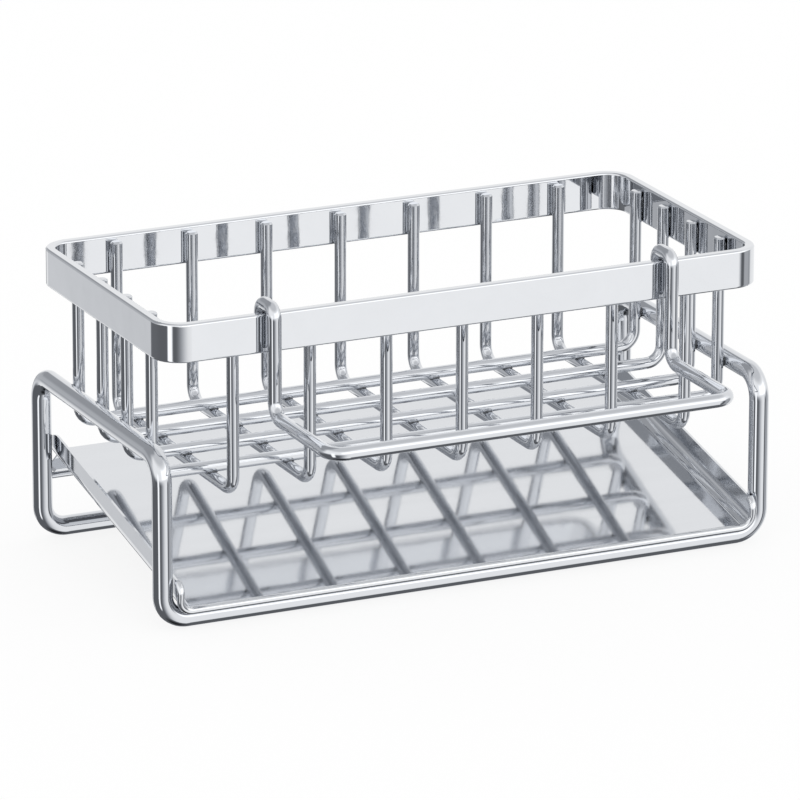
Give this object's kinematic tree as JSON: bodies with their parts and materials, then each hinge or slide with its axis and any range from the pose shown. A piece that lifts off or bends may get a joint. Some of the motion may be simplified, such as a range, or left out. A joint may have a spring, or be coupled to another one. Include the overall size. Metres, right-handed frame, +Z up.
{
  "type": "sponge holder",
  "caption": "Free-standing wire sink caddy with a rim band round its basket, a sloping slide-out drip tray under it and a hook-on cloth rail in front.",
  "frame": {"origin": "on the ground, under the middle of the outline with the cloth rail hooked on", "axes": "+X along the length, to the right when the cloth rail faces the viewer; +Y to the back; +Z up"},
  "size_m": [0.2184, 0.1572, 0.1054],
  "materials": {
    "chrome_wire": "polished",
    "chrome_band": "polished",
    "tray_sheet": "polished"
  },
  "bodies": {
    "caddy": {"frame_loop": "chrome_wire", "tray_rest_wire": "chrome_wire", "rim_band": "chrome_band", "cross_wire_1": "chrome_wire", "cross_wire_2": "chrome_wire", "cross_wire_3": "chrome_wire", "cross_wire_4": "chrome_wire", "cross_wire_5": "chrome_wire", "cross_wire_6": "chrome_wire", "cross_wire_7": "chrome_wire", "long_wire_1": "chrome_wire", "long_wire_2": "chrome_wire", "long_wire_3": "chrome_wire", "long_wire_4": "chrome_wire"},
    "tray": {"drip_tray": "tray_sheet"},
    "towel_rail": {"cloth_rail": "chrome_wire"}
  },
  "joints": [
    {"name": "tray_slides_out", "type": "slide", "parent": "caddy", "child": "tray", "axis": [0, -1, 0], "range_m": [0, 0.115]},
    {"name": "rail_lifts_off", "type": "slide", "parent": "caddy", "child": "towel_rail", "axis": [0, 0, 1], "range_m": [0, 0.03]}
  ]
}
